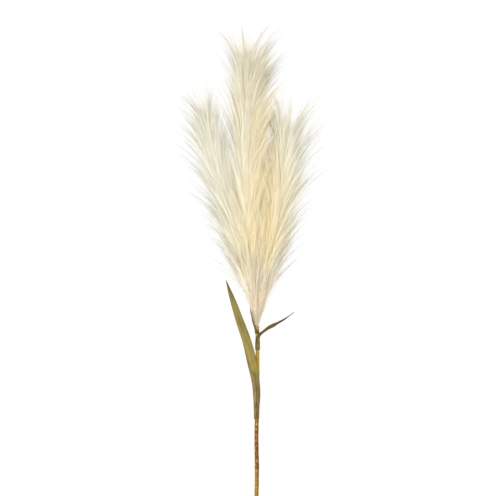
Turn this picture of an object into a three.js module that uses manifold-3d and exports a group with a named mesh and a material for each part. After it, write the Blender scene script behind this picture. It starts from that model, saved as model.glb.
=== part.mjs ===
// Artificial pampas grass stem, lying on a surface: a coated stem, three plumes, two leaves, a bract.
// Millimetres, +Z up. It is shaped from the neck, where the plumes leave the stem: +Y runs up the
// plumes, -Y down the stem, and heights are taken from the surface.

import * as THREE from 'three';
import { mergeVertices } from 'three/addons/utils/BufferGeometryUtils.js';
import Module from 'manifold-3d';

// Stem: its axis from the cut end to the neck, [across, along]
const stemRadius = 3.1;
const neckRadius = 2.7;
const neckHeight = 20; // the plumes hold the neck up, and the cut end lies on the surface
const knuckle = { at: 0.24, height: 0.3, spread: 0.03 };
const stemFacets = { round: 12, along: 14 };
const stemLine = [[-1.6, -296], [-0.6, -236], [-1.3, -177], [0.1, -118], [0.4, -59], [0, 0]];

// Leaves: [across, along, height] down the middle of the outer face. The section is an arc:
// wrap is its half angle in degrees, half its width as seen flat, and roll turns it over to the right.
const sheetThickness = 0.6;
const facetsAcross = 8;
const tipHalfWidth = 0.3;
const fitGap = 0.3; // clear space between pieces that touch
const leaves = {
  leaf_long: {
    colour: '#8f834b',
    line: [
      [-1, -150, 15.3], [-0.9, -131, 16.9], [-0.6, -112, 19.3], [-1.6, -93, 21.4], [-4.6, -74, 22.8],
      [-8.4, -55, 23.6], [-17.6, -20, 23], [-30, 14, 19], [-40.6, 45, 11.6], [-50.1, 72, 3.2],
    ],
    half: [3.9, 4.4, 5.6, 6.1, 7, 8, 7.1, 5.8, 3.8, 0.4],
    wrap: [172, 165, 130, 98, 44, 34, 30, 27, 24, 20],
    roll: [0, 0, 0, 0, 0, 0, 0, 0, 0, 0],
    steps: 18,
  },
  leaf_short: {
    colour: '#5f5420',
    line: [
      [3.9, -38, 17.9], [3.8, -27, 18.5], [4.2, -17, 19.6], [10.6, -8.4, 21.6], [21.6, -0.8, 24.4],
      [33, 5.6, 26], [46.4, 13.4, 26.4], [58.7, 22.4, 25.6],
    ],
    half: [3.55, 3.5, 3.6, 2.6, 2.9, 2.5, 1.5, 0.4],
    wrap: [170, 165, 110, 62, 45, 38, 32, 25],
    roll: [90, 90, 84, 60, 45, 42, 40, 40],
    steps: 14,
  },
  bract: {
    colour: '#6f6b41',
    line: [[-3.4, -12, 19.3], [-4.1, -6, 19.3], [-6.6, 2, 18.6], [-8.8, 14, 17.6], [-10.6, 27, 16.6], [-11.6, 37, 16]],
    half: [3.4, 3.4, 3, 2.6, 1.7, 0.4],
    wrap: [160, 95, 58, 46, 36, 25],
    roll: [-90, -86, -76, -66, -58, -52],
    steps: 10,
  },
};

// Plumes: the branch that each one grows on, then sizes at the foot, midway and at the top
const plumes = {
  plume_middle: {
    branch: [
      [0, 0.5, 20.4], [-8.5, 73, 24.5], [-15, 147, 28], [-19.7, 220, 30.5], [-21, 293, 31.5], [-19, 367, 31],
      [-16, 440, 29],
    ],
    length: 445,
    locks: 28,
    core: [1.7, 36, 3],
    lockLength: [120, 190, 57],
    reach: [30, 66, 38],
    outward: 0.3,
  },
  plume_left: {
    branch: [
      [-1.9, 0.5, 20], [-13.2, 72, 21.5], [-31.5, 144, 23], [-53, 216, 24], [-73.5, 288, 24], [-89, 358, 23],
    ],
    length: 375,
    locks: 22,
    core: [1.7, 28, 2],
    lockLength: [120, 165, 46],
    reach: [30, 64, 22],
    outward: -0.3,
  },
  plume_right: {
    branch: [[1.9, 0.5, 20], [10.5, 80, 21.5], [26, 160, 23.5], [39, 240, 24.5], [48, 316, 24]],
    length: 322,
    locks: 22,
    core: [1.7, 33, 3],
    lockLength: [120, 165, 66],
    reach: [34, 68, 42],
    outward: 0.36,
  },
};
const coreFacets = { round: 8, along: 12 };
const lockFacets = { round: 5, along: 5 };
const lockTurn = 137.5; // degrees round the branch from one lock to the next
const lockRadius = { ends: 6.3, midway: 10.5, tip: 0.5 }; // on the locks at a plume's ends and midway
const hug = 0.8; // the share of a lock's reach that it gains only near its tip
const lockRoots = [0.03, 0.97]; // the first and last roots, as shares of the branch
const droop = 0.85; // locks that rise are pressed down by their weight to this share of their reach
const softness = 7; // how gradually the locks that point down flatten against the surface
const floorSink = 1.5; // the pressed underside is cut flat at this depth

// The lines across which the side plumes meet the middle one, [across, along]
const leftMeeting = [[-1, -9], [-1, 0], [-13, 80], [-29, 160], [-44, 240], [-56, 320], [-70, 400], [-84, 560]];
const rightMeeting = [[1, -9], [1, 0], [1.5, 80], [6, 160], [11, 240], [17, 320], [42, 390], [72, 430], [130, 560]];
const meetingMargin = 0.18;

const footprintCentre = { x: -9, y: 94 }; // the middle of the footprint, seen from the neck
const farAway = 600;

const mix = THREE.MathUtils.lerp;
const radians = THREE.MathUtils.degToRad;
const wasm = await Module();
wasm.setup();

function toSolid(geometry) {
  const bare = geometry.clone();
  bare.deleteAttribute('normal');
  bare.deleteAttribute('uv');
  const welded = mergeVertices(bare, 1e-4);
  const mesh = new wasm.Mesh({
    numProp: 3,
    vertProperties: new Float32Array(welded.attributes.position.array),
    triVerts: new Uint32Array(welded.index.array),
  });
  return new wasm.Manifold(mesh);
}

function toGeometry(solid) {
  const { vertProperties, triVerts } = solid.getMesh();
  const geometry = new THREE.BufferGeometry();
  geometry.setAttribute('position', new THREE.BufferAttribute(vertProperties, 3));
  geometry.setIndex(new THREE.BufferAttribute(triVerts, 1));
  geometry.computeVertexNormals();
  return geometry;
}

// A smooth curve through points. Past its end it goes straight on.
function smoothPath(points) {
  const knots = points.map((point) => new THREE.Vector3(...point));
  const curve = new THREE.CatmullRomCurve3(knots, false, 'catmullrom', 0.5);
  const end = curve.getPoint(1);
  const onward = end.clone().sub(curve.getPoint(0.99)).multiplyScalar(100);
  return (t) => (t > 1 ? end.clone().addScaledVector(onward, t - 1) : curve.getPoint(Math.max(t, 0)));
}

// A smooth curve through numbers at even steps.
function smoothValues(values) {
  const path = smoothPath(values.map((value, step) => [value, step, 0]));
  return (t) => path(t).x;
}

// From the foot's value to the top's, drawn towards the one midway.
function alongBranch([foot, midway, top], t) {
  return mix(mix(foot, midway, t), mix(midway, top, t), t);
}

// The way that a path runs, and its right and up.
function squareTo(path, t) {
  const step = 0.005;
  const on = THREE.MathUtils.clamp(t, step, 1 - step);
  const ahead = path(on + step).sub(path(on - step)).normalize();
  const right = new THREE.Vector3().crossVectors(ahead, new THREE.Vector3(0, 0, 1)).normalize();
  const up = new THREE.Vector3().crossVectors(right, ahead);
  return { ahead, right, up };
}

// A cylinder laid along a path, from 0 at its foot to 1 at its tip.
function bentTube(path, radiusAt, facets) {
  const geometry = new THREE.CylinderGeometry(1, 1, 1, facets.round, facets.along);
  const position = geometry.attributes.position;
  for (let i = 0; i < position.count; i++) {
    const t = position.getY(i) + 0.5;
    const { right, up } = squareTo(path, t);
    const point = path(t)
      .addScaledVector(right, position.getX(i) * radiusAt(t))
      .addScaledVector(up, position.getZ(i) * radiusAt(t));
    position.setXYZ(i, point.x, point.y, point.z);
  }
  return geometry;
}

function stemGeometry(extra) {
  const length = -stemLine[0][1];
  const heightAt = (y) => mix(stemRadius, neckHeight, 1 + y / length);
  const path = smoothPath(stemLine.map(([x, y]) => [x, y, heightAt(y)]));
  const knuckleAt = (t) => knuckle.height * Math.exp(-(((t - knuckle.at) / knuckle.spread) ** 2));
  const radiusAt = (t) => mix(stemRadius, neckRadius, t * t) + knuckleAt(t) + extra;
  return bentTube(path, radiusAt, stemFacets);
}

// A thin sheet whose section goes from nearly a closed tube, round the stem, to a shallow blade.
// It grows by extra on every side.
function leafGeometry({ line, half, wrap, roll, steps }, extra) {
  const path = smoothPath(line);
  const [halfAt, wrapAt, rollAt] = [half, wrap, roll].map(smoothValues);
  const geometry = new THREE.BoxGeometry(2, 1, 1, facetsAcross, steps, 1);
  const position = geometry.attributes.position;
  for (let i = 0; i < position.count; i++) {
    const t = position.getY(i) + 0.5;
    const { ahead, right, up } = squareTo(path, t);
    const turn = radians(rollAt(t));
    const out = up.clone().multiplyScalar(Math.cos(turn)).addScaledVector(right, Math.sin(turn));
    const across = right.clone().multiplyScalar(Math.cos(turn)).addScaledVector(up, -Math.sin(turn));
    const spread = radians(wrapAt(t));
    const arc = Math.max(halfAt(t), tipHalfWidth) / Math.sin(Math.min(spread, Math.PI / 2));
    const radius = arc + position.getZ(i) * (sheetThickness + 2 * extra);
    const angle = position.getX(i) * (spread + extra / arc);
    const pastEnd = Math.abs(t - 0.5) === 0.5 ? Math.sign(t - 0.5) * extra : 0;
    const point = path(t)
      .addScaledVector(ahead, pastEnd)
      .addScaledVector(out, radius * Math.cos(angle) - arc)
      .addScaledVector(across, radius * Math.sin(angle));
    position.setXYZ(i, point.x, point.y, point.z);
  }
  return geometry;
}

// Presses what points down against the surface.
function pressed(geometry) {
  const position = geometry.attributes.position;
  for (let i = 0; i < position.count; i++) {
    position.setZ(i, softness * Math.log1p(Math.exp(position.getZ(i) / softness)) - floorSink);
  }
  return geometry;
}

// A lock of filaments: it hugs the branch, then curves away from it to its tip.
function lockGeometry(plume, branch, index) {
  const share = index / (plume.locks - 1);
  const root = mix(...lockRoots, share);
  const angle = radians(index * lockTurn);
  const across = Math.cos(angle);
  const rise = Math.sin(angle);
  const length = alongBranch(plume.lockLength, share) / plume.length;
  const reach = alongBranch(plume.reach, share) * (1 + plume.outward * across);
  const path = (u) => {
    const { right, up } = squareTo(branch, root + u * length);
    const away = reach * mix(u, u ** 3, hug);
    return branch(root + u * length)
      .addScaledVector(right, away * across)
      .addScaledVector(up, away * rise * (rise > 0 ? droop : 1));
  };
  const radius = mix(lockRadius.ends, lockRadius.midway, Math.sin(Math.PI * share));
  const radiusAt = (u) => lockRadius.tip + radius * (0.5 + u) * (1 - u * u);
  return pressed(bentTube(path, radiusAt, lockFacets));
}

// Everything beyond a line, to the left (-1) or right (+1). It reaches over the line by enough to
// leave the gap between neighbours, also where the line slants.
function beyond(line, side) {
  const edge = line.map(([x, y]) => new THREE.Vector2(x - side * meetingMargin, y));
  const top = line[line.length - 1][1];
  const corners = [new THREE.Vector2(side * farAway, top), new THREE.Vector2(side * farAway, line[0][1])];
  const geometry = new THREE.ExtrudeGeometry(new THREE.Shape([...edge, ...corners]), {
    depth: farAway,
    bevelEnabled: false,
  });
  geometry.translate(0, 0, -farAway / 2);
  return toSolid(geometry);
}

function surfaceBlock() {
  const block = new THREE.BoxGeometry(2 * farAway, 2 * farAway, farAway);
  block.translate(0, 0, -farAway / 2);
  return toSolid(block);
}

// A solid less what its neighbours need, as one piece.
function clearOf(solid, neighbours) {
  const rest = neighbours.reduce((left, neighbour) => left.subtract(neighbour), solid);
  return toGeometry(rest.decompose().reduce((most, piece) => (piece.volume() > most.volume() ? piece : most)));
}

// One plume: its core with its locks fused on.
function plumeSolid(plume) {
  const branch = smoothPath(plume.branch);
  const core = pressed(bentTube(branch, (t) => alongBranch(plume.core, t), coreFacets));
  let solid = toSolid(core);
  for (let index = 0; index < plume.locks; index++) {
    solid = solid.add(toSolid(lockGeometry(plume, branch, index)));
  }
  return solid;
}

const plant = new THREE.Group();
plant.position.set(-footprintCentre.x, -footprintCentre.y, 0);

function place(name, geometry, colour, roughness) {
  const mesh = new THREE.Mesh(geometry, new THREE.MeshStandardMaterial({ color: colour, roughness, metalness: 0 }));
  mesh.name = name;
  plant.add(mesh);
}

place('stem', stemGeometry(0), '#a9823a', 0.5);
const stemRoom = toSolid(stemGeometry(fitGap));
for (const [name, leaf] of Object.entries(leaves)) {
  const sheet = toSolid(leafGeometry(leaf, 0));
  place(name, clearOf(sheet, [stemRoom]), leaf.colour, 0.6);
}

const surface = surfaceBlock();
const bractRoom = toSolid(leafGeometry(leaves.bract, fitGap));
const neighbours = {
  plume_middle: [surface, bractRoom, beyond(leftMeeting, -1), beyond(rightMeeting, 1)],
  plume_left: [surface, bractRoom, beyond(leftMeeting, 1)],
  plume_right: [surface, bractRoom, beyond(rightMeeting, -1)],
};
for (const [name, plume] of Object.entries(plumes)) {
  place(name, clearOf(plumeSolid(plume), neighbours[name]), '#e8dcbb', 0.8);
}

export default plant;
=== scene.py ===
import math

import bpy
import numpy as np
from bpy.props import FloatProperty, FloatVectorProperty, IntProperty, PointerProperty
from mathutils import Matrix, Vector


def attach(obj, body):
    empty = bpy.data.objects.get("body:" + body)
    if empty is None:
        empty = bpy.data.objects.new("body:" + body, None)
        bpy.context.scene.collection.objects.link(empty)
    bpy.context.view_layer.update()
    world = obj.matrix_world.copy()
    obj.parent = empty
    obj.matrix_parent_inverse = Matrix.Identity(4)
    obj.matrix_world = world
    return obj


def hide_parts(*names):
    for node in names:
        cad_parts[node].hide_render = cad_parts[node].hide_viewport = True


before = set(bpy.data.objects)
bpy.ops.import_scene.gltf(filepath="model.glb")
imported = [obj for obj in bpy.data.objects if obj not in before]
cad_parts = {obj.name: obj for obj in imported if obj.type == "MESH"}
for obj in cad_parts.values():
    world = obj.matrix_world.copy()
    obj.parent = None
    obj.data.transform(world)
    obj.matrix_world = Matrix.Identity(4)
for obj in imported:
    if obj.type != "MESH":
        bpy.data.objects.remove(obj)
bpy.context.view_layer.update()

bl_info = {
    "name": "Pampas grass stem",
    "version": (1, 0, 0),
    "blender": (4, 5, 0),
    "location": "3D View > Sidebar > Pampas",
    "description": "Adds an artificial pampas grass stem: coated wire, leaves and silky plumes",
    "category": "Add Mesh",
}

# Points and sizes in the tables below are in millimetres from the neck, the place where the
# plumes leave the stem: +X to the short leaf, +Y up the plumes, Z from the surface.
NECK = np.array([9.0, -94.0, 0.0])

STEM_LENGTH = 296
STEM_LINE = [(-1.6, -296), (-0.6, -236), (-1.3, -177), (0.1, -118), (0.4, -59), (0, 0)]
STEM_FOOT_HEIGHT, STEM_NECK_HEIGHT = 3.35, 20.0
STEM_SIDES, STEM_STEPS = 28, 74
# The knuckle's place and spread are shares of the stem's length.
KNUCKLE_PLACE, KNUCKLE_HEIGHT, KNUCKLE_SPREAD = 0.24, 0.3, 0.03
# At the cut end, in metres: the coat's chamfer, its shallow recess round the wire, the gap between
# them and how far the wire reaches out of the recess.
COAT_CHAMFER, WIRE_RECESS, WIRE_GAP, WIRE_REACH = 0.0003, 0.0004, 0.00008, 0.0008

# Across a leaf, places run from -1 at its left margin to 1 at its right one.
RIB_WIDTH, RIDGE_SHARE, RIDGE_TURNS = 0.13, 0.35, 22
OPENED_WRAP = 110  # where a leaf wraps less than this it has a rib, ridges and rippled margins
NARROWEST_HALF, LEAF_GAP, LOWEST_LEAF = 0.3, 0.3, 0.4
# A leaf's stations from its foot to its tip: its spine, its half width, how far each half wraps
# round the spine, and its roll, both in degrees.
STRAP_LEAF = {
    "line": [(-1.2, -150, 15.3), (-1.1, -131, 16.9), (-0.9, -112, 19.3), (-2.1, -93, 21.4),
             (-5.4, -74, 22.8), (-9.2, -55, 23.6), (-18, -20, 23), (-30.2, 14, 19),
             (-40.6, 45, 11.6), (-50.1, 72, 3.2)],
    "half": [3.6, 4.2, 5.3, 5.8, 6.5, 7.3, 6.8, 5.7, 3.8, 0.4],
    "wrap": [172, 165, 130, 98, 44, 34, 30, 27, 24, 20],
    "roll": [0] * 10,
}
SHORT_LEAF = {
    "line": [(3.9, -38, 17.9), (3.8, -27, 18.5), (4.2, -17, 19.6), (12, -8.4, 21.6),
             (22.4, -0.8, 24.4), (33.4, 5.4, 26), (46.4, 13.4, 26.4), (58.7, 22.4, 25.6)],
    "half": [3.4, 3.35, 3.4, 3.0, 3.2, 1.8, 0.9, 0.3],
    "wrap": [170, 165, 110, 62, 45, 38, 32, 25],
    "roll": [90, 90, 84, 55, 32, 26, 26, 30],
}
BRACT = {
    "line": [(-3.2, -12, 19.3), (-3.8, -6, 19.3), (-5.4, 2, 18.8), (-7.4, 14, 18.2),
             (-9.8, 27, 17.4), (-11.8, 37, 16.6)],
    "half": [3.4, 3.4, 3.3, 2.9, 2, 0.4],
    "wrap": [160, 95, 58, 46, 36, 25],
    "roll": [-90, -80, -52, -36, -32, -32],
}

# A plume's three numbers in a row are at its foot, midway and at its top. Outward is the share by
# which locks on the right reach further, fuller puts more strands there, and comb turns the locks
# that face up towards it, in degrees. All three mean the left where they are below 0. Fan lengthens
# the reach of the top locks. Bare is the share from which nothing stands beside the plume, on its
# left and on its right. Strands are counted in its lower and its upper piece.
PLUMES = {
    "plume_middle": {
        "branch": [(0, 0.5, 20.4), (-8.5, 73, 24.5), (-15, 147, 28), (-19.7, 220, 30.5),
                   (-21, 293, 31.5), (-19, 367, 31), (-16, 440, 29)],
        "length": 445, "locks": 28, "core": (1.7, 36, 3), "lock_length": (120, 190, 55),
        "reach": (30, 66, 38), "outward": 0.3, "comb": 44, "fan": 0.3,
        "fuller": 0.5, "bare": (0.4, 0.6), "strands": (8900, 8900),
    },
    "plume_left": {
        "branch": [(-0.7, 0.5, 20), (-13.2, 72, 21.5), (-31.5, 144, 23), (-53, 216, 24),
                   (-73.5, 288, 24), (-89, 358, 23)],
        "length": 375, "locks": 22, "core": (1.7, 28, 2), "lock_length": (120, 165, 46),
        "reach": (38, 60, 22), "outward": -0.3, "comb": -12, "fan": 0.2,
        "fuller": 0.3, "bare": (0, 0.65), "strands": (8200, 4300),
    },
    "plume_right": {
        "branch": [(0.7, 0.5, 20), (10.5, 80, 21.5), (26, 160, 23.5), (39, 240, 24.5),
                   (48, 316, 24)],
        "length": 322, "locks": 22, "core": (1.7, 33, 3), "lock_length": (120, 165, 78),
        "reach": (40, 67, 45), "outward": 0.36, "comb": 10, "fan": -0.02,
        "fuller": -0.3, "bare": (0.65, 0), "strands": (8200, 4500),
    },
}
# A plume's two pieces: its locks from one share to another, and how many strands go to one that
# lies in the core.
HALVES = (("lower", 0.0, 0.46, 7), ("upper", 0.46, 1.01, 20))
LOCKS_BETWEEN = 11  # an eleventh of the visible locks lie on the solid's own locks
LOCK_TURN = 137.5 + 360  # degrees from one of the solid's locks to the next
LOCK_ROOTS = (0.03, 0.97)  # the shares of the branch where the first and the last lock start
# How long strands keep to the branch before they turn out.
HUG_BODY, HUG_LOCK, HUG_TOP = 0.15, 0.5, 0.1
# How high strands rise on the upper side, as a share of their reach sideways.
LIFT_LOCK, LIFT_BETWEEN, LIFT_CORE = 0.78, 0.6, 0.7
INWARD = 0.1  # the locks that face a neighbour plume keep nearly all of their reach
FACING = 0.64  # a plume's side that is bare from further up than this faces a neighbour plume
THINNEST_CORE = 1.7
FOOT_LENGTH = 22  # strands with their root below this make the tight foot
FLOOR_SOFTNESS, LOWEST_STRAND = 7.0, 0.3
STRANDS_IN_WISP = 6
STRAND_RINGS = (0.3, 0.56, 0.79)  # the rings along the modelled strand, which is 1 high
NOT_ALONG = (0.13, 0.05, 1.0)  # a direction that no strand runs along
BODY_WIDTH = 1.35  # how much thicker a strand is in the body than at the outer edge
# The plumes' heart, where strands lie deepest and are painted golden for the warm light they pass
# on: the X of its middle and its half width, at even steps from the neck up to its top.
HEART_TOP = 480
HEART_MIDDLE = [0, 2, 5, 7, -3, -14, -17]
HEART_WIDTH = [8, 28, 38, 37, 34, 25, 16]
# The glow fades in above the tight foot and out towards the upper surface.
GLOW_START, GLOW_ROOF = (40, 130), (34, 64)
GLOWING = 0.5  # the share of an outer strand, from its root, that has the glowing finish
# Bands of the strands' map, side by side: outer tips, the tight foot, then from pale to golden.
OUTER, FOOT, FIRST_WARMTH, WARMTHS = 0, 1, 2, 4

# The stage, in metres. The picture's size is measured at the height of the stem's middle.
PICTURE_CENTRE, FRAMED_HEIGHT = (-0.00588, 0.0308, 0.0), 0.02
FLOOR_SIZE, FLOOR_DROP = 6, -0.0005
LIGHT_PLACE, LIGHT_SIZE = (-0.55, 0.3, 2.0), 2.2
SENSOR = 36  # the camera's sensor is this wide, in millimetres

WHITE, BLACK = "#FFFFFF", "#000000"  # all and none, where a ramp gives a share
# The sockets of a Mix node that mixes colours.
MIX_SHARE, MIX_FIRST, MIX_SECOND, MIX_RESULT = 0, 6, 7, 2
OBJECT_PLACE = 3  # the Object output of a Texture Coordinate node


def linear(hex_colour):
    """An sRGB hex colour, with its alpha if it has one, as the four linear numbers."""
    *rgb, alpha = (int(hex_colour.ljust(9, "F")[i:i + 2], 16) / 255 for i in (1, 3, 5, 7))
    rgb = (p / 12.92 if p <= 0.04045 else ((p + 0.055) / 1.055) ** 2.4 for p in rgb)
    return (*rgb, alpha)


def shaded(colour, share):
    """A linear colour made darker, to that share of its light."""
    return tuple(c * share for c in colour[:3]) + (1.0,)


def mix(a, b, share):
    """The value that lies at that share of the way from a to b."""
    return a + (b - a) * share


def blended(first, second, share):
    """The linear colour that lies at that share of the way from the first to the second."""
    return tuple(mix(a, b, float(share)) for a, b in zip(first, second))


def smooth(stations, t):
    """The stations' value at each t, on a smooth curve that goes straight on past its end."""
    p = np.asarray(stations, float)
    p = np.concatenate([[2 * p[0] - p[1]], p, [2 * p[-1] - p[-2]]])
    t = np.asarray(t, float)

    def at(held):
        place = np.clip(held, 0, 1) * (len(p) - 3)
        i = np.minimum(place.astype(int), len(p) - 4)
        f = (place - i).reshape(place.shape + (1,) * (p.ndim - 1))
        a, b, c, d = p[i], p[i + 1], p[i + 2], p[i + 3]
        return 0.5 * (2 * b + (c - a) * f + (2 * a - 5 * b + 4 * c - d) * f ** 2
                      + (3 * b - a - 3 * c + d) * f ** 3)

    past = np.maximum(t - 1, 0).reshape(t.shape + (1,) * (p.ndim - 1))
    # The direction of the last hundredth of the curve.
    onward = (at(np.ones(1)) - at(np.full(1, 0.99))) * 100
    return at(t) + onward * past


def along(three, t):
    """The value at t of a quantity given at a plume's foot, midway and top."""
    foot, midway, top = three
    return mix(mix(foot, midway, t), mix(midway, top, t), t)


def unit(v):
    """The vectors at length 1."""
    return v / np.maximum(np.linalg.norm(v, axis=-1, keepdims=True), 1e-9)


def square_to(stations, t):
    """The directions to the right of the path and upward from it, at each t."""
    step = 0.005
    on = np.clip(t, step, 1 - step)
    ahead = unit(smooth(stations, on + step) - smooth(stations, on - step))
    right = unit(np.cross(ahead, (0, 0, 1)))
    return right, np.cross(right, ahead)


def in_metres(points):
    """Points in millimetres from the neck, as metres in the part's own frame."""
    return (np.asarray(points, float) + NECK) / 1000


def deselect():
    """Leaves edit mode and selects nothing."""
    if bpy.context.mode != "OBJECT":
        bpy.ops.object.mode_set(mode="OBJECT")
    bpy.ops.object.select_all(action="DESELECT")


def select_faces(obj, wanted):
    """In edit mode, selects the faces of obj for which wanted(face) holds, and no others."""
    bpy.ops.object.mode_set(mode="OBJECT")
    for item in (*obj.data.vertices, *obj.data.edges):
        item.select = False
    for face in obj.data.polygons:
        face.select = wanted(face)
    bpy.ops.object.mode_set(mode="EDIT")
    bpy.ops.mesh.select_mode(type="FACE")


def finish_piece(obj, name, material_slot, node, materials):
    """Puts a piece's place in its mesh, gives it its finish and fixes it to the frame."""
    deselect()
    obj.select_set(True)
    bpy.context.view_layer.objects.active = obj
    bpy.ops.object.transform_apply(location=True, rotation=True, scale=True)
    obj.name = obj.data.name = name
    for material in materials:
        obj.data.materials.append(material)
    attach(obj, "root")
    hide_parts(node)


def add_node(tree, kind, settings=None, values=None, links=None, stops=None, output=0):
    """Adds a node with its settings, its unlinked values, the outputs that feed its inputs and a
    colour ramp's stops, each a place and a colour. Returns one of its outputs."""
    node = tree.nodes.new("ShaderNode" + kind)
    for name, value in (settings or {}).items():
        setattr(node, name, value)
    for name, value in (values or {}).items():
        node.inputs[name].default_value = value
    for name, source in (links or {}).items():
        tree.links.new(source, node.inputs[name])
    if stops:
        elements = node.color_ramp.elements
        elements[0].position, elements[1].position = stops[0][0], stops[-1][0]
        for place, _ in stops[1:-1]:
            elements.new(place)
        for element, (_, colour) in zip(elements, stops):
            element.color = linear(colour) if isinstance(colour, str) else colour
    return node.outputs[output]


def new_material(name, values):
    """A material with one Principled shader; returns it, its node tree and the shader."""
    material = bpy.data.materials.new(name)
    material.use_nodes = True
    tree = material.node_tree
    shader = tree.nodes["Principled BSDF"]
    for key, value in values.items():
        shader.inputs[key].default_value = value
    return material, tree, shader


# Materials

def moulded_coat(settings):
    """Moulded polyethylene coat, brushed by hand with brown and pale dabs: satin, faintly uneven.
    Its right side is darkened with painted shade, the side turned from the light, from the cut end
    to the strap leaf."""
    material, tree, shader = new_material(
        "Moulded polyethylene coat", {"Roughness": 0.5, "IOR": 1.51, "Specular IOR Level": 0.14})
    in_mm = add_node(tree, "Mapping", values={"Scale": (1000, 1000, 1000)},
                     links={0: add_node(tree, "TexCoord", output=OBJECT_PLACE)})
    x, y, _ = add_node(tree, "SeparateXYZ", links={0: in_mm}).node.outputs
    # Speckles 1.4 mm across, and dabs about 5 mm across, longer round the stem than along it.
    speckle = add_node(tree, "TexNoise", values={"Scale": 0.7, "Detail": 3, "Roughness": 0.7},
                       links={0: in_mm})
    turned = add_node(tree, "Mapping", values={"Rotation": (0, 0, 0.6), "Scale": (0.9, 1.1, 0.9)},
                      links={0: in_mm})
    dabs = add_node(tree, "TexNoise", links={0: turned}, values={
        "Scale": 0.2, "Detail": 2.5, "Roughness": 0.55, "Distortion": 0.6})
    coat = tuple(settings.coat)
    colour = add_node(tree, "ValToRGB", links={0: speckle}, stops=[
        (0.32, shaded(coat, 0.5)), (0.45, shaded(coat, 0.85)), (0.58, coat), (0.72, "#BA9644")])
    # Where the dabs are strong, faint and absent along the stem: y from -400 to -80 mm.
    along_stem = add_node(tree, "MapRange", values={"From Min": -400.0, "From Max": -80.0},
                          links={"Value": y})
    amount = add_node(tree, "ValToRGB", links={0: along_stem}, stops=[
        (0.0, "#A8A8A8"), (0.2, "#949494"), (0.27, "#EAEAEA"), (0.5, "#EAEAEA"), (0.55, "#404040"),
        (1.0, "#303030")])
    pale, brown = linear("#BA963E"), tuple(settings.dabs)
    for paint, places in ((pale, [(0.36, WHITE), (0.42, BLACK)]),
                          (brown, [(0.45, BLACK), (0.52, WHITE)])):
        dab = add_node(tree, "ValToRGB", links={0: dabs}, stops=places)
        shown = add_node(tree, "Math", {"operation": "MULTIPLY"}, links={0: dab, 1: amount})
        colour = add_node(tree, "Mix", {"data_type": "RGBA"}, {MIX_SECOND: paint},
                          {MIX_SHARE: shown, MIX_FIRST: colour}, output=MIX_RESULT)
    # Painted shade on the right: from near the stem's middle to near its right edge, x 7.8 to 10.4
    # mm.
    side = add_node(tree, "MapRange", values={"From Min": 7.8, "From Max": 10.4},
                    links={"Value": x})
    shade = add_node(tree, "ValToRGB", links={0: side}, stops=[(0.2, WHITE), (0.7, "#A88A62")])
    # How strongly the painted shade shows along the stem: partly at the cut end, fully below the
    # strap leaf.
    painted_shade_strength = add_node(tree, "ValToRGB", links={0: along_stem}, stops=[
        (0.0, "#909090"), (0.25, WHITE), (0.5, WHITE), (0.6, "#101010")])
    colour = add_node(tree, "Mix", {"data_type": "RGBA", "blend_type": "MULTIPLY"},
                      links={MIX_SHARE: painted_shade_strength, MIX_FIRST: colour, MIX_SECOND: shade},
                      output=MIX_RESULT)
    tree.links.new(colour, shader.inputs["Base Color"])
    grain = add_node(tree, "Bump", values={"Strength": 0.35, "Distance": 0.0002},
                     links={"Height": speckle})
    tree.links.new(grain, shader.inputs["Normal"])
    return material


def cut_wire():
    """Galvanised steel wire with a snipped end: grey metal, dulled by the cut."""
    material, tree, shader = new_material("Galvanised steel wire",
                                          {"Metallic": 1.0, "Roughness": 0.42})
    # Marks of the cutter, a third of a millimetre across.
    marks = add_node(tree, "TexNoise", values={"Scale": 3000, "Detail": 2},
                     links={0: add_node(tree, "TexCoord", output=OBJECT_PLACE)})
    grey = add_node(tree, "ValToRGB", links={0: marks}, stops=[(0.3, "#6F7073"), (0.7, "#A9ABAE")])
    tree.links.new(grey, shader.inputs["Base Color"])
    return material


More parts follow.
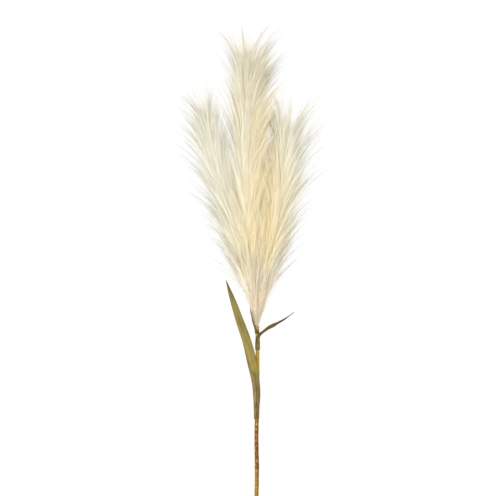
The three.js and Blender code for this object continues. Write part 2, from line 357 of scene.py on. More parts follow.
def printed_leaf(name, field, bands, rough):
    """Printed polyester leaf: dull cloth with veins along it. Field has the stops of a ramp from
    the leaf's foot to its tip. Each band is where it lies across the leaf, and its own such ramp,
    whose alpha is the band's strength."""
    material, tree, shader = new_material(name, {
        "Roughness": rough, "IOR": 1.5, "Specular IOR Level": 0.18,
        "Sheen Weight": 0.05, "Sheen Roughness": 0.5})
    uv = add_node(tree, "UVMap", {"uv_map": "OFBake"})
    across, up, _ = add_node(tree, "SeparateXYZ", links={0: uv}).node.outputs
    # On the strap leaf, 15 mm wide and 232 mm long, veins are half a millimetre wide and 70 mm
    # long, and stains are 5 mm wide and 25 mm long. They are finer on the shorter leaves.
    veins, stain = (
        add_node(tree, "TexNoise", {"noise_dimensions": "2D"},
                 {"Scale": 1.0, "Detail": detail, "Roughness": 0.6},
                 {0: add_node(tree, "Mapping", values={"Scale": in_leaf}, links={0: uv})})
        for in_leaf, detail in (((34, 3.2, 1), 2.0), ((3.2, 9, 1), 3.0)))
    colour = add_node(tree, "ValToRGB", links={0: up}, stops=field)
    for places, stops in bands:
        where = add_node(tree, "ValToRGB", links={0: across}, stops=places)
        own = add_node(tree, "ValToRGB", links={0: up}, stops=stops)
        shown = add_node(tree, "Math", {"operation": "MULTIPLY"},
                         links={0: where, 1: own.node.outputs["Alpha"]})
        colour = add_node(tree, "Mix", {"data_type": "RGBA"}, output=MIX_RESULT,
                          links={MIX_SHARE: shown, MIX_FIRST: colour, MIX_SECOND: own})
    for pattern, strength, stops in (
        (veins, 1.0, [(0.34, "#CDCDCD"), (0.5, "#F2F2F2"), (0.66, WHITE)]),
        (stain, 0.75, [(0.35, "#CFC2AE"), (0.6, WHITE)]),
    ):
        shade = add_node(tree, "ValToRGB", links={0: pattern}, stops=stops)
        colour = add_node(tree, "Mix", {"data_type": "RGBA", "blend_type": "MULTIPLY"},
                          {MIX_SHARE: strength}, {MIX_FIRST: colour, MIX_SECOND: shade},
                          output=MIX_RESULT)
    tree.links.new(colour, shader.inputs["Base Color"])
    weave = add_node(tree, "Bump", values={"Strength": 0.6, "Distance": 0.0003},
                     links={"Height": veins})
    tree.links.new(weave, shader.inputs["Normal"])
    return material


def silky_filament(name, settings, glow):
    """Fine polyester filament, drawn and crimped: nearly white, painted warmer deep in the plume
    for the warm light that strands pass on there, and greyer at the outer tips, with a soft sheen.
    It passes light on from strand to strand more often than a render follows, so it has a faint
    warm glow, a painted glow, which makes the hollows golden."""
    material, tree, shader = new_material(
        name,
        {"Roughness": 0.55, "IOR": 1.45, "Sheen Weight": 0.25, "Sheen Roughness": 0.4,
         "Specular IOR Level": 0.35, "Emission Color": tuple(settings.glow_colour),
         "Emission Strength": glow})
    uv = add_node(tree, "UVMap", {"uv_map": "OFBake"})
    across, up, _ = add_node(tree, "SeparateXYZ", links={0: uv}).node.outputs
    # Each band of the map has a colour for its strands' roots and one for their ends. The end of a
    # pale strand is a little greyer, and that of a golden one is paler.
    pale, warm, tip = map(tuple, (settings.pale, settings.warm, settings.tip))
    bands = [(pale, tip), ("#E6D8BE", "#F5EFDD")]
    for step in np.linspace(0, 1, WARMTHS):
        greyed = blended(pale, tip, 0.16 * (1 - step))
        bands.append((blended(pale, warm, step), blended(greyed, warm, 0.6 * step)))
    ramps = []
    for colours in zip(*bands):
        stops = [(i / len(bands), colour) for i, colour in enumerate(colours)]
        ramps.append(add_node(tree, "ValToRGB", links={0: across}, stops=stops))
        ramps[-1].node.color_ramp.interpolation = "CONSTANT"
    change = add_node(tree, "MapRange", {"interpolation_type": "SMOOTHSTEP"},
                      {"From Min": 0.4, "From Max": 1.0}, {"Value": up})
    colour = add_node(tree, "Mix", {"data_type": "RGBA"}, output=MIX_RESULT,
                      links={MIX_SHARE: change, MIX_FIRST: ramps[0], MIX_SECOND: ramps[1]})
    # Each band of the map runs from a dull strand to a light one.
    steps = add_node(tree, "Math", {"operation": "MULTIPLY"}, {1: len(bands)}, {0: across})
    light = add_node(tree, "Math", {"operation": "FRACT"}, links={0: steps})
    shade = add_node(tree, "ValToRGB", links={0: light},
                     stops=[(0.0, "#ECE9E2"), (0.5, "#FAF9F5"), (1.0, WHITE)])
    colour = add_node(tree, "Mix", {"data_type": "RGBA", "blend_type": "MULTIPLY"},
                      {MIX_SHARE: 1.0}, {MIX_FIRST: colour, MIX_SECOND: shade}, output=MIX_RESULT)
    tree.links.new(colour, shader.inputs["Base Color"])
    return material


# Settings that a user would change

def length_setting(name, default, low, description):
    """A length in metres."""
    return FloatProperty(name=name, description=description, default=default, min=low,
                         unit="LENGTH")


def share_setting(name, default, description):
    """A share from 0 to 1."""
    return FloatProperty(name=name, description=description, default=default, min=0.0, max=1.0,
                         subtype="FACTOR")


def colour_setting(name, default, description):
    """A colour with its alpha. The default is an sRGB hex colour."""
    return FloatVectorProperty(name=name, description=description, default=linear(default), size=4,
                               min=0.0, max=1.0, subtype="COLOR")


class PampasStemSettings(bpy.types.PropertyGroup):
    radius: length_setting("Radius", 0.0033, 0.001, "Radius of the coated stem at its foot")
    neck_radius: length_setting("Neck radius", 0.003, 0.001, "Radius of the stem at the neck")
    wire_radius: length_setting("Wire radius", 0.0012, 0.0003, "Radius of the steel wire core")
    coat: colour_setting("Coat", "#9B7818", "Mustard colour of the coat")
    dabs: colour_setting("Dabs", "#651F04", "Colour of the brown dabs")


class PampasLeafSettings(bpy.types.PropertyGroup):
    thickness: length_setting("Thickness", 0.0005, 0.0001, "Thickness of the leaf sheet")
    ripple: length_setting("Ripple", 0.0004, 0.0, "How far the leaf's margins ripple")
    strap: colour_setting("Strap leaf", "#887D39", "Green of the strap leaf")
    short: colour_setting("Short leaf", "#625304", "Olive of the short leaf")
    bract: colour_setting("Bract", "#6F6531", "Green of the bract")


class PampasPlumeSettings(bpy.types.PropertyGroup):
    strand_radius: length_setting("Strand radius", 0.00017, 0.00005,
                                  "Radius of an outer filament near its root")
    gather: share_setting("Gather", 0.62, "How far strands draw together into locks")
    stray: share_setting("Stray", 0.12, "Share of wisps that stand out of their lock")
    wisp_width: length_setting("Wisp width", 0.0003, 0.0,
                               "How far strands lie from their wisp's middle")
    fray: length_setting("Fray", 0.0006, 0.0, "How far strands part at a wisp's tip")
    glow: share_setting("Inner glow", 0.09, "Strength of the light that strands pass on")
    glow_colour: colour_setting("Glow colour", "#FFEEC2", "Colour of the inner glow")
    pale: colour_setting("Pale strands", "#F6F6EE", "Colour of the outer strands")
    warm: colour_setting("Golden strands", "#F9EAB9", "Colour of the deepest strands")
    tip: colour_setting("Outer tips", "#BAB5A4", "Colour of the outermost tips")
    seed: IntProperty(name="Seed", description="Changes how the strands fall", default=3, min=0)


class PampasStageSettings(bpy.types.PropertyGroup):
    camera_height: length_setting("Camera height", 2.5, 0.5,
                                  "Height of the camera above the surface")
    framed: length_setting("Framed size", 0.7936, 0.1, "Side of the square that the picture shows")
    light: FloatProperty(name="Key light", description="Strength of the large overhead light",
                         default=14.0, min=0.0, unit="POWER")
    room: FloatProperty(name="Room light", description="Strength of the light all around",
                        default=1.6, min=0.0)
    floor: colour_setting("Floor", "#1C1C1C", "Colour of the floor")


# Pieces

class PAMPAS_OT_add_stem(bpy.types.Operator):
    """Add the coated wire stem with its cut end"""
    bl_idname = "pampas.add_stem"
    bl_label = "Add stem"

    def execute(self, context):
        settings = context.scene.pampas_stem
        t = np.linspace(0, 1, STEM_STEPS + 1)
        line = np.array([(x, y, mix(STEM_FOOT_HEIGHT, STEM_NECK_HEIGHT, 1 + y / STEM_LENGTH))
                         for x, y in STEM_LINE])
        points = in_metres(smooth(line, t))
        knuckle = KNUCKLE_HEIGHT / 1000 * np.exp(-((t - KNUCKLE_PLACE) / KNUCKLE_SPREAD) ** 2)
        # The coat is uneven by a few hundredths of a millimetre.
        uneven = 0.00006 * np.sin(t * 61) + 0.00005 * np.sin(t * 143 + 1)
        radii = mix(settings.radius, settings.neck_radius, t * t) + knuckle + uneven
        deselect()
        bpy.ops.mesh.primitive_circle_add(
            vertices=STEM_SIDES, radius=radii[0], fill_type="NGON", location=points[0],
            rotation=(-math.pi / 2, 0, 0))
        stem = context.active_object
        bpy.ops.object.mode_set(mode="EDIT")
        for i in range(1, STEM_STEPS + 1):
            bpy.ops.mesh.extrude_region_move(
                TRANSFORM_OT_translate={"value": tuple(points[i] - points[i - 1])})
            size = radii[i] / radii[i - 1]
            bpy.ops.transform.resize(value=(size, size, size), center_override=tuple(points[i]))
        bpy.ops.mesh.select_all(action="SELECT")
        bpy.ops.mesh.normals_make_consistent(inside=False)

        def cut_end(face):
            return face.normal.y < -0.9 and len(face.vertices) > 4

        bpy.ops.object.mode_set(mode="OBJECT")
        bpy.ops.object.transform_apply(location=True, rotation=True, scale=True)
        select_faces(stem, cut_end)
        bpy.ops.mesh.bevel(offset=COAT_CHAMFER, segments=2, affect="EDGES")
        select_faces(stem, cut_end)
        bpy.ops.mesh.inset(thickness=radii[0] - COAT_CHAMFER - settings.wire_radius)
        bpy.ops.mesh.extrude_region_move(TRANSFORM_OT_translate={"value": (0, WIRE_RECESS, 0)})
        bpy.ops.mesh.inset(thickness=WIRE_GAP)
        bpy.ops.mesh.extrude_region_move(TRANSFORM_OT_translate={"value": (0, -WIRE_REACH, 0)})
        bpy.ops.object.mode_set(mode="OBJECT")
        stem.data.materials.append(moulded_coat(settings))
        stem.data.materials.append(cut_wire())
        centre = Vector(points[0])
        for face in stem.data.polygons:
            off = face.center - centre
            near_end = off.y < 1.5 * WIRE_RECESS
            on_wire = near_end and math.hypot(off.x, off.z) < settings.wire_radius
            face.material_index = 1 if on_wire else 0
        deselect()
        stem.select_set(True)
        bpy.ops.object.shade_smooth_by_angle(angle=math.radians(38))
        finish_piece(stem, "coated_stem", "stem_coat", "stem", ())
        return {"FINISHED"}


def leaf_sheet(leaf, across, steps, thickness, ripple, rib):
    """A leaf from a grid: each row is bent round the leaf's spine, and the sheet gets its wall.
    Its rib's height is in millimetres."""
    deselect()
    bpy.ops.mesh.primitive_grid_add(x_subdivisions=across, y_subdivisions=steps, size=2)
    obj = bpy.context.active_object
    mesh = obj.data
    flat = np.zeros(len(mesh.vertices) * 3)
    mesh.vertices.foreach_get("co", flat)
    flat = flat.reshape(-1, 3)
    w, t = flat[:, 0], (flat[:, 1] + 1) / 2
    path = smooth(leaf["line"], t)
    half = np.maximum(smooth(leaf["half"], t), NARROWEST_HALF)
    wrap = np.radians(smooth(leaf["wrap"], t))
    roll = np.radians(smooth(leaf["roll"], t))[:, None]
    right, up = square_to(leaf["line"], t)
    out = up * np.cos(roll) + right * np.sin(roll)
    side = right * np.cos(roll) - up * np.sin(roll)
    arc = half / np.sin(np.minimum(wrap, math.pi / 2))
    open_part = np.clip(1 - wrap / math.radians(OPENED_WRAP), 0, 1)
    ridges = RIDGE_SHARE * rib * np.cos(w * RIDGE_TURNS) * (1 - np.abs(w))
    ridge = rib * np.exp(-(w / RIB_WIDTH) ** 2) - ridges
    # Five ripples along each margin.
    wave = ripple * 1000 * np.sin(t * 31 + w * 2) * np.abs(w) ** 2 * open_part
    radius = arc + LEAF_GAP + (ridge * open_part + wave)
    angle = w * wrap
    points = (path + out * (radius * np.cos(angle) - arc)[:, None]
              + side * (radius * np.sin(angle))[:, None])
    points[:, 2] = np.maximum(points[:, 2], LOWEST_LEAF)
    mesh.vertices.foreach_set("co", in_metres(points).ravel())
    uv = mesh.uv_layers.active
    uv.name = "OFBake"
    corner = np.zeros(len(mesh.loops), int)
    mesh.loops.foreach_get("vertex_index", corner)
    placed = np.stack([(w[corner] + 1) / 2, t[corner]], 1) * 0.98 + 0.01
    uv.data.foreach_set("uv", placed.ravel())
    mesh.update()
    bpy.ops.object.mode_set(mode="EDIT")
    bpy.ops.mesh.select_all(action="SELECT")
    bpy.ops.mesh.normals_make_consistent(inside=False)
    bpy.ops.object.mode_set(mode="OBJECT")
    wall = obj.modifiers.new("Wall", "SOLIDIFY")
    wall.thickness = thickness
    wall.offset = 0
    wall.use_even_offset = True
    bpy.ops.object.modifier_apply(modifier=wall.name)
    bpy.ops.object.shade_smooth_by_angle(angle=math.radians(50))
    return obj


class PAMPAS_OT_add_leaves(bpy.types.Operator):
    """Add the strap leaf, the short leaf and the bract, each with its sheath"""
    bl_idname = "pampas.add_leaves"
    bl_label = "Add leaves"

    def execute(self, context):
        settings = context.scene.pampas_leaves
        green, olive, bract_green = map(tuple, (settings.strap, settings.short, settings.bract))
        strap = printed_leaf(
            "Printed polyester strap leaf",
            [(0.0, "#674F20"), (0.1, "#6F5C2D"), (0.3, "#726734"), (0.42, "#7A6F35"),
             (0.52, green), (0.8, green), (0.93, shaded(green, 0.76)), (1.0, "#584D04")],
            # The rib, the left margin, the right margin, the sheath's flap, and its knot and fold.
            [([(0.24, BLACK), (0.4, "#DADADA"), (0.52, "#DADADA"), (0.68, BLACK)],
              [(0.42, "#9A864F00"), (0.5, "#9C8851"), (0.8, "#8E7845"), (0.96, "#64550400")]),
             ([(0.05, WHITE), (0.14, BLACK)],
              [(0.4, "#74471400"), (0.44, "#744714"), (0.58, "#7B581F"), (0.68, "#7F7228"),
               (1.0, "#655804")]),
             ([(0.86, BLACK), (0.95, WHITE)],
              [(0.42, "#766F2800"), (0.5, "#7D7021"), (1.0, "#655804")]),
             ([(0.45, WHITE), (0.47, BLACK)],
              [(0.0, "#7B6235"), (0.3, "#8E7847"), (0.4, "#8E7847"), (0.45, "#8E784700")]),
             ([(0.44, BLACK), (0.46, WHITE), (0.49, WHITE), (0.51, BLACK)],
              [(0.12, "#491C0400"), (0.14, "#491C04"), (0.165, "#491C04"),
               (0.19, "#554114B0"), (0.42, "#554114B0"), (0.46, "#55411400")])],
            0.7)
        short = printed_leaf(
            "Printed polyester short leaf",
            [(0.0, "#676031"), (0.25, "#6B642F"), (0.34, "#644F19"),
             (0.48, shaded(olive, 0.85)), (0.58, olive), (0.68, "#5C4104"), (0.76, "#4F3104"),
             (0.87, "#70532B"), (1.0, "#A58E7B")],
            # The collar's dark margins and the leaf's red-brown lower edge.
            [([(0.04, WHITE), (0.18, BLACK), (0.82, BLACK), (0.96, WHITE)],
              [(0.0, "#514504"), (0.26, "#514504"), (0.3, "#51450400")]),
             ([(0.12, WHITE), (0.28, BLACK)],
              [(0.3, "#5E330400"), (0.38, "#5E3304"), (0.5, "#5E3304C0"), (0.7, "#583304C0"),
               (0.84, "#58330400")])],
            0.72)
        bract = printed_leaf(
            "Printed polyester bract",
            [(0.0, "#393B0C"), (0.14, "#4D491C"), (0.3, shaded(bract_green, 0.9)),
             (0.6, bract_green), (1.0, bract_green)],
            [([(0.04, WHITE), (0.14, BLACK)],
              [(0.0, "#37390C"), (0.4, "#554F21"), (1.0, "#62582B")])],
            0.75)
        for name, leaf, node, slot, across, steps, rib, material in (
            ("strap_leaf", STRAP_LEAF, "leaf_long", "strap_leaf", 40, 170, 0.28, strap),
            ("short_leaf", SHORT_LEAF, "leaf_short", "short_leaf", 30, 110, 0.15, short),
            ("bract_leaf", BRACT, "bract", "bract_leaf", 26, 70, 0.12, bract),
        ):
            sheet = leaf_sheet(leaf, across, steps, settings.thickness, settings.ripple, rib)
            finish_piece(sheet, name, slot, node, (material,))
        return {"FINISHED"}


def model_strand():
    """One strand, modelled once: a three-sided cone with rings along it. Returns its points'
    heights, turns and which of them is the tip, its faces and its points' sides, and removes the
    cone."""
    deselect()
    bpy.ops.mesh.primitive_cone_add(vertices=3, radius1=1, radius2=0, depth=1, end_fill_type="NGON",
                                    location=(0, 0, 0.5))
    cone = bpy.context.active_object
    bpy.ops.object.transform_apply(location=True, rotation=True, scale=True)
    bpy.ops.object.mode_set(mode="EDIT")
    for height in STRAND_RINGS:
        bpy.ops.mesh.select_all(action="SELECT")
        bpy.ops.mesh.bisect(plane_co=(0, 0, height), plane_no=(0, 0, 1))
    bpy.ops.object.mode_set(mode="OBJECT")
    mesh = cone.data
    co = np.array([v.co for v in mesh.vertices])
    # Turns are rounded to half a side, so that the rings line up.
    one_side = math.pi * 2 / 3
    turn = np.round(np.arctan2(co[:, 1], co[:, 0]) / one_side * 2) / 2 * one_side
    tip = co[:, 2] > 0.999
    faces = [list(p.vertices) for p in mesh.polygons]
    sides = np.unique(np.round(turn[~tip], 3))
    side = np.where(tip, 1, np.argmin(abs(sides - turn[:, None]), axis=1))
    bpy.data.objects.remove(cone)
    bpy.data.meshes.remove(mesh)
    return co[:, 2], turn, tip, faces, side


def lay_locks(plume, low, high, rng):
    """The locks between two shares of a plume's: their courses and tones, and the share of the
    wisps that each gets. Free locks lie between those of the solid."""
    shares = np.linspace(0, 1, LOCKS_BETWEEN * (plume["locks"] - 1) + 1)
    inside = np.flatnonzero((shares >= low) & (shares < high))
    share, n = shares[inside], len(inside)
    free = inside % LOCKS_BETWEEN != 0
    top = np.clip(share * 4 - 3, 0, 1)
    lock = {
        "share": share,
        "at_top": top,
        "root": mix(*LOCK_ROOTS, share) + free * rng.normal(0, 0.008, n),
        "turn": np.radians(inside * LOCK_TURN / LOCKS_BETWEEN) + free * rng.normal(0, 0.12, n),
        "length": along(plume["lock_length"], share) / plume["length"]
        * (1 - free * rng.uniform(-0.02, 0.1, n)),
        "reach": along(plume["reach"], share) * (1 + plume["fan"] * share ** 3)
        * (1 - free * rng.uniform(-0.06, 0.14, n)),
        "lift": np.where(free, LIFT_BETWEEN, LIFT_LOCK),
        "hug": mix(HUG_LOCK, HUG_TOP, top),
        "wave": rng.normal(0, 2.0, (n, 2)),
        "phase": rng.uniform(0, 6.28, (n, 2)),
        "tone": rng.normal(0, 0.07, n),
    }
    longer = plume["outward"] * np.cos(lock["turn"])
    lock["reach"] = lock["reach"] * (1 + np.where(longer < 0, INWARD * longer, longer))
    combed = math.radians(plume["comb"]) * (1 - 0.8 * top)
    lock["turn"] = lock["turn"] - combed * np.maximum(np.sin(lock["turn"]), 0)
    # There are fewer wisps towards the top, and more on the fuller and the upper side.
    crowd = rng.uniform(0.7, 1.3, n) * (1.25 - 0.5 * share - 0.3 * top) * np.where(free, 1, 1.2)
    fuller = plume["fuller"] * (1 - top) * np.cos(lock["turn"])
    crowd = crowd * (1 + fuller + 0.3 * np.sin(lock["turn"]))
    lock["crowd"] = crowd / crowd.sum()
    return lock


def part_wisps(lock, wisps, settings, rng):
    """The wisps of the locks, each with a lock's course and its own start, turn, reach and length.
    Returns the number of each wisp's lock, and the wisps. Those that reach far draw together into
    pointed locks, and the upper ones start early."""
    of_lock = rng.choice(len(lock["crowd"]), wisps, p=lock["crowd"])
    led = {key: value[of_lock] for key, value in lock.items()}
    stray = rng.random(wisps) < settings.stray
    # A wisp has from 0.16 to 1.04 of its lock's reach, and counts as far between 0.4 and 0.9.
    part = 0.16 + 0.88 * rng.uniform(0, 1, wisps) ** 0.8
    far = np.clip((part - 0.4) / 0.5, 0, 1) ** 2
    at_top = led["at_top"]
    early = rng.uniform(0.05, 0.24, wisps) * led["share"] ** 2
    wisp = {
        "root": np.abs(led["root"] + rng.normal(0, 0.013, wisps) - early),
        "length": led["length"] * rng.uniform(0.8, 1.06, wisps) + early,
        "turn": led["turn"] + rng.normal(0, 0.24, wisps) * np.where(stray, 1.5, 1),
        "reach": led["reach"] * part,
        "lift": led["lift"] * rng.uniform(0.8, 1.05, wisps),
        "hug": mix(mix(HUG_BODY, HUG_LOCK, far), HUG_TOP, at_top),
        "far": far,
        "at_top": at_top,
        "gather": np.where(stray, 0.1, settings.gather * mix(0.3, 1.5, np.maximum(far, at_top))),
        "wave": rng.normal(0, 1.0, (wisps, 2)) * np.where(stray, 2.0, 1)[:, None],
        "phase": rng.uniform(0, 6.28, (wisps, 2)),
        "tone": rng.normal(0, 0.12, wisps),
    }
    return of_lock, wisp


def course(plume, lead, u):
    """The point at each place u along each lead, with the directions to its right and upward. A
    lead bends out from the branch towards its turn."""
    t = lead["root"][:, None] + u * lead["length"][:, None]
    right, up = square_to(plume["branch"], t)
    away = lead["reach"][:, None] * mix(u, u ** 3, lead["hug"][:, None])
    across, rise = np.cos(lead["turn"]), np.sin(lead["turn"])
    rise = np.where(rise > 0, lead["lift"], 1) * rise
    return (smooth(plume["branch"], t) + right * (away * across[:, None])[..., None]
            + up * (away * rise[:, None])[..., None]), right, up


def grow(plume, count, low, high, settings, rng):
    """The strands of one piece in their wisps: a function from places along each strand to points,
    and the strands' tones and kinds. low and high bound the piece's locks, as shares of the
    plume's."""
    lock = lay_locks(plume, low, high, rng)
    wisps = -(-count // STRANDS_IN_WISP)
    of_lock, wisp = part_wisps(lock, wisps, settings, rng)
    of_wisp = np.arange(count) // STRANDS_IN_WISP
    led = {key: value[of_lock[of_wisp]] for key, value in lock.items()}
    mine = {key: value[of_wisp] for key, value in wisp.items()}
    # Some strands end before their wisp does, and they lie closer where it reaches far.
    most, bias = mix(0.3, 0.4, mine["at_top"]), mix(2, 1.5, mine["at_top"])
    short = 1 - most * rng.uniform(0, 1, count) ** bias
    wide = settings.wisp_width * 1000 * mix(4, 0.8, np.maximum(mine["far"], mine["at_top"]))
    beside = rng.normal(0, 1, (count, 2)) * wide[:, None]
    fray = rng.normal(0, settings.fray * 1000, (count, 2))

    def place(u):
        u = u * short[:, None]
        own, right, up = course(plume, mine, u)
        on_lock = np.clip((mine["root"][:, None] + u * mine["length"][:, None]
                           - led["root"][:, None]) / led["length"][:, None], 0, 1.1)
        leading, _, _ = course(plume, led, on_lock)
        point = mix(own, leading, (mine["gather"][:, None] * u ** 0.8)[..., None])
        sway = (mine["wave"][:, None] * np.sin(u[..., None] * 5 + mine["phase"][:, None])
                + led["wave"][:, None] * np.sin(u[..., None] * 4 + led["phase"][:, None]))
        spread = sway * u[..., None] + beside[:, None] + fray[:, None] * u[..., None] ** 4
        point = point + right * spread[..., :1] + up * spread[..., 1:]
        return above_floor(point)

    tone = 0.5 + led["tone"] + mine["tone"] + rng.normal(0, 0.08, count)
    # Outer strands stand free at a side or at the top. The tops of the side plumes stay pale
    # where they face the middle one.
    bare = np.where(np.cos(mine["turn"]) < 0, *plume["bare"])
    at_side = abs(np.cos(mine["turn"])) * (mine["root"] > bare)
    free_top = mine["at_top"] * np.where(bare > FACING, 0.7, 2.4)
    outer = mine["far"] * np.maximum(at_side, free_top) > rng.uniform(0.3, 1, wisps)[of_wisp]
    at_foot = mine["root"] * plume["length"] < FOOT_LENGTH
    kind = np.where(outer, OUTER, np.where(at_foot, FOOT, FIRST_WARMTH))
    return place, tone, kind


def above_floor(point):
    """Points pressed softly against the surface that the stem lies on."""
    pressed = FLOOR_SOFTNESS * np.log1p(np.exp(point[..., 2] / FLOOR_SOFTNESS))
    point[..., 2] = LOWEST_STRAND + pressed
    return point


def fill_core(plume, count, rng):
    """The course of the strands that run up the plume inside its locks, close to the branch, with
    their tones and kinds. A third of them start at the plume's foot and make its tight neck."""
    foot = np.arange(count) < count // 3
    root = np.where(foot, rng.uniform(-0.004, 0.03, count), rng.uniform(0, 1, count) ** 1.6 * 0.7)
    length = rng.uniform(85, 150, count) / plume["length"]
    turn = rng.uniform(0, 2 * math.pi, count)
    out = np.sqrt(rng.uniform(0.02, 1, count))
    wave = rng.normal(0, 1.2, (count, 2))
    phase = rng.uniform(0, 6.28, (count, 2))

    def place(u):
        t = root[:, None] + u * length[:, None]
        right, up = square_to(plume["branch"], t)
        core = np.maximum(along(plume["core"], np.clip(t, 0, 1)), THINNEST_CORE)
        away = core * out[:, None] * mix(mix(0.25, 0.5, foot[:, None]), 1, u)
        sway = wave[:, None] * np.sin(u[..., None] * 5 + phase[:, None]) * u[..., None]
        rise = np.where(np.sin(turn) > 0, LIFT_CORE, 1) * np.sin(turn)
        point = (smooth(plume["branch"], t)
                 + right * (away * np.cos(turn)[:, None] + sway[..., 0])[..., None]
                 + up * (away * rise[:, None] + sway[..., 1])[..., None])
        return above_floor(point)

    return place, 0.45 + rng.normal(0, 0.16, count), np.where(foot, FOOT, FIRST_WARMTH)


def copied_mesh(name, points, faces):
    """A mesh with a copy of the faces on each row of points."""
    count, in_copy = points.shape[:2]
    corners = np.concatenate(faces)
    starts = np.concatenate([[0], np.cumsum([len(f) for f in faces])[:-1]])
    mesh = bpy.data.meshes.new(name)
    mesh.vertices.add(count * in_copy)
    mesh.vertices.foreach_set("co", in_metres(points).astype(np.float32).ravel())
    index = (np.arange(count)[:, None] * in_copy + corners).ravel()
    mesh.loops.add(len(index))
    mesh.loops.foreach_set("vertex_index", index.astype(np.int32))
    begin = (np.arange(count)[:, None] * len(corners) + starts).ravel()
    mesh.polygons.add(len(begin))
    mesh.polygons.foreach_set("loop_start", begin.astype(np.int32))
    mesh.polygons.foreach_set("use_smooth", np.ones(len(begin), bool))
    return mesh


def across_map(middle, tone, kind, rng):
    """The strands' places across their map, each clear of its band's edges. Strands are painted
    golden near the heart's middle and deep down, and paler towards its top and its upper surface:
    painted warm light that deep strands pass on to each other."""
    on_heart = middle[:, 1] / HEART_TOP
    off = (middle[:, 0] - smooth(HEART_MIDDLE, on_heart)) / smooth(HEART_WIDTH, on_heart)
    painted_warmth = np.exp(-off ** 2) * np.clip(1.4 - on_heart, 0.25, 1)
    # Strands further below the upper surface get more of the painted warm light.
    painted_warmth = painted_warmth * np.clip((62 - middle[:, 2]) / 30, 0.25, 1.1)
    painted_warmth = painted_warmth + rng.normal(0, 0.1, len(middle))
    warm = FIRST_WARMTH + np.clip(painted_warmth * WARMTHS, 0, WARMTHS - 1).astype(int)
    band = np.where(kind < FIRST_WARMTH, kind, warm)
    return (band + 0.12 + 0.76 * np.clip(tone, 0, 1)) / (FIRST_WARMTH + WARMTHS)


def build_strands(name, strand, places, tones, kinds, radius):
    """One mesh of the modelled strand, copied along every course."""
    height, turn, tip, faces, side = strand
    levels, level = np.unique(np.round(height, 5), return_inverse=True)
    tone, kind = np.concatenate(tones), np.concatenate(kinds)
    centres = np.concatenate([place(np.tile(levels, (len(its_tones), 1)))
                              for place, its_tones in zip(places, tones)])
    count = len(centres)
    ahead = unit(np.gradient(centres, axis=1))
    first = unit(np.cross(ahead, NOT_ALONG))
    second = np.cross(ahead, first)
    taper = radius * 1000 * (1 - 0.45 * levels ** 1.5)
    rng = np.random.default_rng(count)
    angle = turn + rng.uniform(0, 6.28, count)[:, None]
    width = (rng.uniform(0.8, 1.2, count) * np.where(kind == OUTER, 1, BODY_WIDTH))[:, None]
    width = width * np.where(tip, 0, taper[level])
    points = (centres[:, level]
              + first[:, level] * (width * np.cos(angle))[..., None]
              + second[:, level] * (width * np.sin(angle))[..., None])
    mesh = copied_mesh(name, points, faces)

    # Up the map is the way from a strand's root to its tip.
    middle = centres[:, len(levels) // 2]
    corners = np.concatenate(faces)
    u = across_map(middle, tone, kind, rng)[:, None] + (side[corners] - 1) * 0.008
    v = np.tile(0.015 + 0.96 * height[corners] + 0.01 * side[corners], (count, 1))
    uv = mesh.uv_layers.new(name="OFBake")
    uv.data.foreach_set("uv", np.stack([u, v], -1).astype(np.float32).ravel())

    # The deep strands glow, and of the outer ones only the half at the root.
    inner = np.array([height[f].mean() < GLOWING for f in faces])
    deep = middle[:, 1] > rng.uniform(*GLOW_START, count)
    deep = deep & (middle[:, 2] < rng.uniform(*GLOW_ROOF, count))
    glows = deep[:, None] & ((kind == FIRST_WARMTH)[:, None] | ((kind == OUTER)[:, None] & inner))
    mesh.polygons.foreach_set("material_index", glows.astype(np.int32).ravel())
    mesh.update(calc_edges=True)
    mesh.validate()
    obj = bpy.data.objects.new(name, mesh)
    bpy.context.scene.collection.objects.link(obj)
    return obj


class PAMPAS_OT_add_plumes(bpy.types.Operator):
    """Add the three plumes, each in a lower and an upper piece of loose filament"""
    bl_idname = "pampas.add_plumes"
    bl_label = "Add plumes"

    def execute(self, context):
        settings = context.scene.pampas_plumes
        filaments = (silky_filament("Drawn polyester filament, outer half", settings, 0.0),
                     silky_filament("Drawn polyester filament", settings, settings.glow))
        strand = model_strand()
        rng = np.random.default_rng(settings.seed)
        for node, plume in PLUMES.items():
            for (half, low, high, to_core), count in zip(HALVES, plume["strands"]):
                in_core = count // to_core
                places, tones, kinds = zip(
                    grow(plume, count - in_core, low, high, settings, rng),
                    fill_core(plume, in_core, rng))
                name = f"{node}_{half}"
                obj = build_strands(name, strand, places, tones, kinds, settings.strand_radius)
                finish_piece(obj, name, "filament", node, filaments)
        return {"FINISHED"}


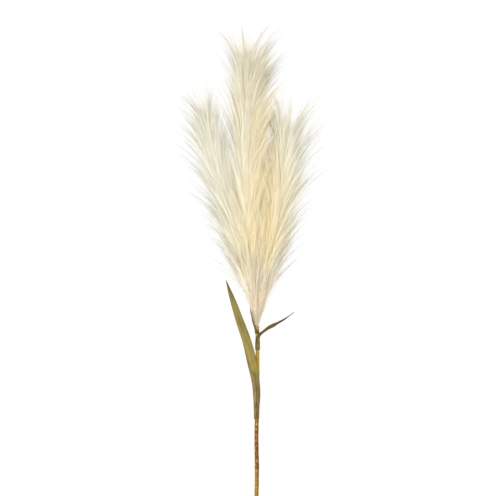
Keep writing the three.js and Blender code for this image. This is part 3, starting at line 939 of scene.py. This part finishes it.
class PAMPAS_OT_add_stage(bpy.types.Operator):
    """Add the white floor, the soft light and the camera that looks down"""
    bl_idname = "pampas.add_stage"
    bl_label = "Add stage"

    def execute(self, context):
        settings = context.scene.pampas_stage
        centre = Vector(PICTURE_CENTRE)
        deselect()
        bpy.ops.mesh.primitive_plane_add(size=FLOOR_SIZE, location=(centre.x, centre.y, FLOOR_DROP))
        floor = context.active_object
        floor.name = "floor"
        # A light table: opal acrylic lit from below, so that no shadow greys it.
        material, _, _ = new_material("Back-lit opal acrylic", {
            "Base Color": settings.floor, "Roughness": 0.8, "Specular IOR Level": 0.0,
            "Emission Color": (1, 1, 1, 1), "Emission Strength": 0.99})
        floor.data.materials.append(material)
        bpy.ops.object.light_add(type="AREA", location=LIGHT_PLACE)
        key = context.active_object
        key.name = "key_light"
        key.data.shape = "DISK"
        key.data.size = LIGHT_SIZE
        key.data.energy = settings.light
        key.rotation_euler = (centre - key.location).to_track_quat("-Z", "Y").to_euler()
        world = bpy.data.worlds.new("Soft white room")
        world.use_nodes = True
        background = world.node_tree.nodes["Background"]
        background.inputs["Color"].default_value = (1, 1, 1, 1)
        background.inputs["Strength"].default_value = settings.room
        context.scene.world = world
        bpy.ops.object.camera_add(location=(centre.x, centre.y, settings.camera_height),
                                  rotation=(0, 0, 0))
        camera = context.active_object
        camera.name = "camera"
        camera.data.sensor_width = SENSOR
        camera.data.lens = SENSOR * (settings.camera_height - FRAMED_HEIGHT) / settings.framed
        context.scene.camera = camera
        context.scene.view_settings.view_transform = "Standard"
        # Pale filament passes light on from strand to strand many times.
        context.scene.cycles.diffuse_bounces = 12
        return {"FINISHED"}


class PAMPAS_PT_panel(bpy.types.Panel):
    """Lists the pieces of the stem with their settings"""
    bl_idname = "PAMPAS_PT_panel"
    bl_label = "Pampas grass stem"
    bl_space_type = "VIEW_3D"
    bl_region_type = "UI"
    bl_category = "Pampas"

    def draw(self, context):
        for group, (_, operator) in SETTINGS.items():
            box = self.layout.box()
            settings = getattr(context.scene, group)
            for name in settings.__annotations__:
                box.prop(settings, name)
            box.operator(operator.bl_idname)


SETTINGS = {
    "pampas_stem": (PampasStemSettings, PAMPAS_OT_add_stem),
    "pampas_leaves": (PampasLeafSettings, PAMPAS_OT_add_leaves),
    "pampas_plumes": (PampasPlumeSettings, PAMPAS_OT_add_plumes),
    "pampas_stage": (PampasStageSettings, PAMPAS_OT_add_stage),
}
CLASSES = (*(cls for pair in SETTINGS.values() for cls in pair), PAMPAS_PT_panel)


def register():
    for cls in CLASSES:
        bpy.utils.register_class(cls)
    for name, (group, _) in SETTINGS.items():
        setattr(bpy.types.Scene, name, PointerProperty(type=group))


def unregister():
    for name in SETTINGS:
        delattr(bpy.types.Scene, name)
    for cls in reversed(CLASSES):
        bpy.utils.unregister_class(cls)


def main():
    register()
    for operator in (bpy.ops.pampas.add_stem, bpy.ops.pampas.add_leaves,
                     bpy.ops.pampas.add_plumes, bpy.ops.pampas.add_stage):
        operator()


if __name__ == "__main__":
    main()
